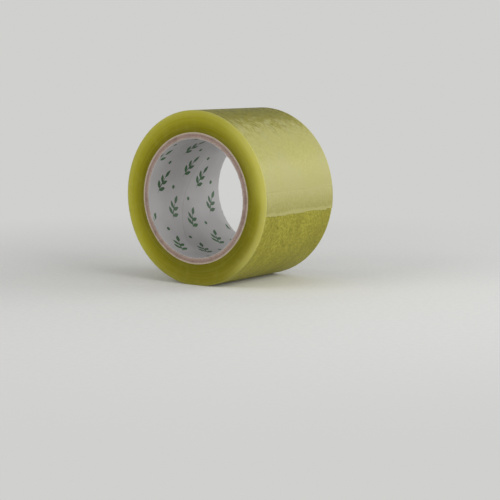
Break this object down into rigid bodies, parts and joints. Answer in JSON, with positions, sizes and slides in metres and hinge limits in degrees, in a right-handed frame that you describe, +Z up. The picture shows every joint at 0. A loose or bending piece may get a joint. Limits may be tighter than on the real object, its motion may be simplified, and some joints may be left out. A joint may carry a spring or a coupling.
{
  "type": "packing tape roll",
  "caption": "Roll of clear packing tape on a spiral-wound paper core, lying on its rim, with a free end that peels back.",
  "frame": {"origin": "bottom centre of the bounding box, on the floor under the roll's axis, midway between its ends", "axes": "+Z up; the roll's axis lies along Y, with the front end face at -Y; the cut edge of the tape is on the +X side"},
  "size_m": [0.1121, 0.075, 0.1115],
  "materials": {
    "tape_film": "glossy translucent yellow-green film, wound",
    "core_board": "matt grey-beige core board",
    "liner_paper": "matt white liner paper with small green marks",
    "wrap_paper": "matt kraft paper"
  },
  "bodies": {
    "roll": {"core_liner": "liner_paper", "core_ply_1": "core_board", "core_ply_2": "core_board", "core_ply_3": "core_board", "core_ply_4": "core_board", "core_ply_5": "core_board", "core_ply_6": "core_board", "core_wrap": "wrap_paper", "tape_winding": "tape_film", "tape_outer_turn": "tape_film"},
    "free_end": {"tape_free_end": "tape_film"}
  },
  "joints": [
    {"name": "free_end_peel", "type": "hinge", "parent": "roll", "child": "free_end", "pos_m": [0.05563, 0, 0.0622], "axis": [0, -1, 0], "range_deg": [0, 150]}
  ]
}
